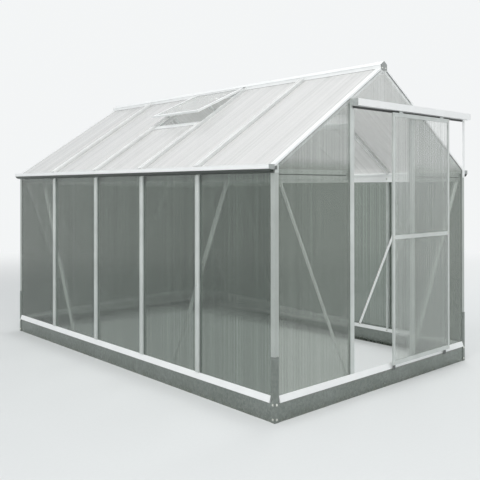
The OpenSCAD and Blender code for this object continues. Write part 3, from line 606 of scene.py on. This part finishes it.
def rafter_shadow_strips():
    """Dark strips on the gable sheets along the rafters' lips, painted shadow under the lips, left out where
    a post passes. At x from the middle a strip lies at z = eave + (half width - x) tan(pitch) - drop /
    cos(pitch)."""
    shadow_line = [(0.0, 0.0), (0.0030, 0.0), (0.0026, 0.0012), (0.0016, 0.0018), (0.0004, 0.0012)]
    spans = np.array([[0.9180, 0.3300], [0.2900, 0.0340]])
    drop = 0.0122
    height = eave_z + (wall_x - spans) * math.tan(pitch) - drop / math.cos(pitch)
    for end, way, y in ends:
        sheet_y = np.full(2, y - way * 0.0023)
        for side, s in sides:
            start, stop = (np.stack([s * spans[:, i], sheet_y, height[:, i]], 1) for i in (0, 1))
            down = (-s * math.sin(pitch), 0, -math.cos(pitch))
            strip(f"{end}_{side}_rafter_shadow_strips", shadow_line, start, stop, down, (0, way, 0), shadow_strip_plastic)


def tie_flats():
    """Two flats on the front ties, as a folded section shows, with a thin near black strip between them
    that is painted shade in the fold. Each is an outline of height and depth carried along X."""
    tall = 0.0225
    flat = [(0, 0), (tall, 0), (tall, 0.0030), (tall - 0.0010, 0.0045), (0.0010, 0.0045), (0, 0.0030)]
    fold_shade = [(0, 0), (0.0060, 0), (0.0060, 0.0006), (0, 0.0006)]
    rows = (("lower_tie_flats", flat, 1.2790, bright["x"]), ("upper_tie_flats", flat, 1.3085, bright["x"]),
            ("tie_fold_shade", fold_shade, 1.3020, painted_shade))
    for side, s in sides:
        for row, outline, z, finish in rows:
            start, stop = ([s * x, tie_y, z] for x in (0.3330, 0.9140))
            strip(f"{side}_{row}", outline, start, stop, (0, 0, 1), (0, -1, 0), finish)


def track_shadow_strip():
    """Dark strip behind the leaf, painted shade in the gap under the track: a wedge that hangs from the
    track's back edge, carried along X.
    """
    shadow_wedge = [(0, 0), (0.0025, 0), (0.0018, -0.0135), (0.0007, -0.0135)]
    start, stop = ([x, -1.5590, 1.7147] for x in (-0.3080, 0.9200))
    strip("track_shadow_strip", shadow_wedge, start, stop, (0, 1, 0), (0, 0, 1), shadow_strip_plastic)


# ---- Build ----

studio_camera()
studio_world()
softbox("high_softbox", (-4.0, -3.5, 7.5), (0, 0, 0.6), 5.0, 420)
softbox("side_softbox", (6.0, 1.0, 6.0), (0, 0, 0.8), 5.0, 220)
floor = floor_disc()
floor.data.materials.append(studio_floor("studio_floor"))

metal = {run: mill_aluminium("mill_aluminium_" + run, run, (0.64, 0.67, 0.65), 0.55, 0.8)
         for run in ("x", "y", "z", "slope")}
dull = mill_aluminium("dull_aluminium", "z", (0.36, 0.375, 0.365), 0.5)
weathered = mill_aluminium("weathered_aluminium", "z", (0.47, 0.50, 0.475), 0.55, 0.8)
# Painted glint: the braces are the same mill aluminium, made near white and barely metallic so that they
# shine as if the sun caught them
brace = {run: mill_aluminium("brace_painted_glint_aluminium_" + run, run, (0.97, 0.975, 0.97), 0.12, 0.15)
         for run in ("x", "y")}
# Painted light: the sills, gutters, ties, rafters, ridge, vent frames and track are the same mill aluminium
# in a near white tone, a lit copy for the faces that catch the sky
bright = {run: mill_aluminium("bright_aluminium_" + run, run, (0.92, 0.93, 0.925), 0.30, 0.25)
          for run in ("x", "y", "slope")}
# Painted light: the roof bars are the same mill aluminium in a lighter tone, as they face the sky
bar = mill_aluminium("roof_bar_painted_light_aluminium", "slope", (0.78, 0.785, 0.775), 0.30, 0.4)
# Painted shade: a near black copy of the mill aluminium for the coves under the gutters and the folds of the
# ties, where shade falls
painted_shade = mill_aluminium("painted_shade_aluminium", "y", (0.075, 0.085, 0.078), 0.35)
steel = galvanised_steel("galvanised_sheet")
nylon = moulded_plastic("moulded_nylon")
# Painted shade: a near black plastic for the strips under the rafters' lips and behind the track, where
# shadow falls
shadow_strip_plastic = moulded_plastic("painted_shadow_plastic", (0.045, 0.047, 0.046))
pale_nylon = moulded_plastic("pale_nylon", (0.36, 0.38, 0.37))
zinc = zinc_plate("zinc_plated")

# Painted light and shade: a sheet's tint stands for the surroundings that show through it, so each face has
# its own, and the bands under the roof and at the door's top lighten the sheets upwards as painted light
painted_under_roof_light = [(1.34, 1.40, (0.72, 0.735, 0.72)), (1.68, 1.78, (0.98, 0.982, 0.98))]
painted_door_top_light = [(1.00, 1.40, (0.80, 0.81, 0.80))]
sheet_side = twin_wall("twin_wall_side", "Y", (0.235, 0.265, 0.239), (0.47, 0.51, 0.48), 0.03, 0.012,
                       gloss=0.08)
sheet_front = twin_wall("twin_wall_front_gable", "X", (0.42, 0.45, 0.415), uneven=0.45, gloss=0.2,
                        painted_light_bands=painted_under_roof_light)
sheet_back = twin_wall("twin_wall_back_gable", "X", (0.26, 0.29, 0.262), (0.48, 0.52, 0.49), 0.03, 0.012, 0.7,
                       0.1, painted_under_roof_light)
sheet_door = twin_wall("twin_wall_door", "X", (0.68, 0.705, 0.68), (0.78, 0.80, 0.785), 0.06, 0.03, 0.6,
                       painted_light_bands=painted_door_top_light)
sheet_vent = twin_wall("twin_wall_vent", "Y", (0.70, 0.705, 0.69), (0.77, 0.775, 0.76), 0.24, 0.07, 0.2)
sheet_roof = twin_wall("twin_wall_roof", "Y", (0.715, 0.71, 0.70), (0.79, 0.785, 0.775), 0.60, 0.035, 0.12)

finishes = {
    "side_base_rails": steel, "gable_base_rails": steel, "base_corner_angles": steel,
    "side_sills": bright["y"], "gable_sills": bright["x"], "corner_posts": weathered,
    "left_wall_posts": metal["z"], "right_wall_posts": metal["z"], "door_jambs": metal["z"],
    "back_gable_posts": metal["z"], "left_eave_gutter": bright["y"], "right_eave_gutter": bright["y"],
    "gutter_end_caps": pale_nylon, "front_gable_ties": bright["x"], "back_gable_tie": bright["x"],
    "door_head": metal["x"], "front_rafters": bright["slope"], "back_rafters": bright["slope"],
    "left_roof_bars": bar, "right_roof_bars": bar, "ridge_beam": bright["y"],
    "ridge_end_plates": dull, "vent_cross_bars": bright["y"], "vent_frames": bright["slope"],
    "vent_stays": metal["slope"], "side_wall_braces": brace["y"], "gable_braces": brace["x"],
    "door_track": bright["x"], "track_end_caps": pale_nylon, "track_strut": bright["x"],
    "door_frame": metal["z"], "door_hangers": metal["z"], "door_rollers": nylon, "door_guides": nylon,
    "left_wall_panels": sheet_side, "right_wall_panels": sheet_side, "front_gable_panels": sheet_front,
    "back_gable_panels": sheet_back, "left_roof_panels": sheet_roof, "right_roof_panels": sheet_roof,
    "vent_panes": sheet_vent, "door_panes": sheet_door,
}
for name, piece in part.items():
    piece.data.materials.clear()
    piece.data.materials.append(finishes[name])

angle_bolts()
frame_nuts()
screws()
bar_covers()
ridge_skirts()
gutter_coves()
eave_corners()
brace_lips()
rafter_shadow_strips()
tie_flats()
track_shadow_strip()

scene = bpy.context.scene
scene.view_settings.view_transform = "Standard"
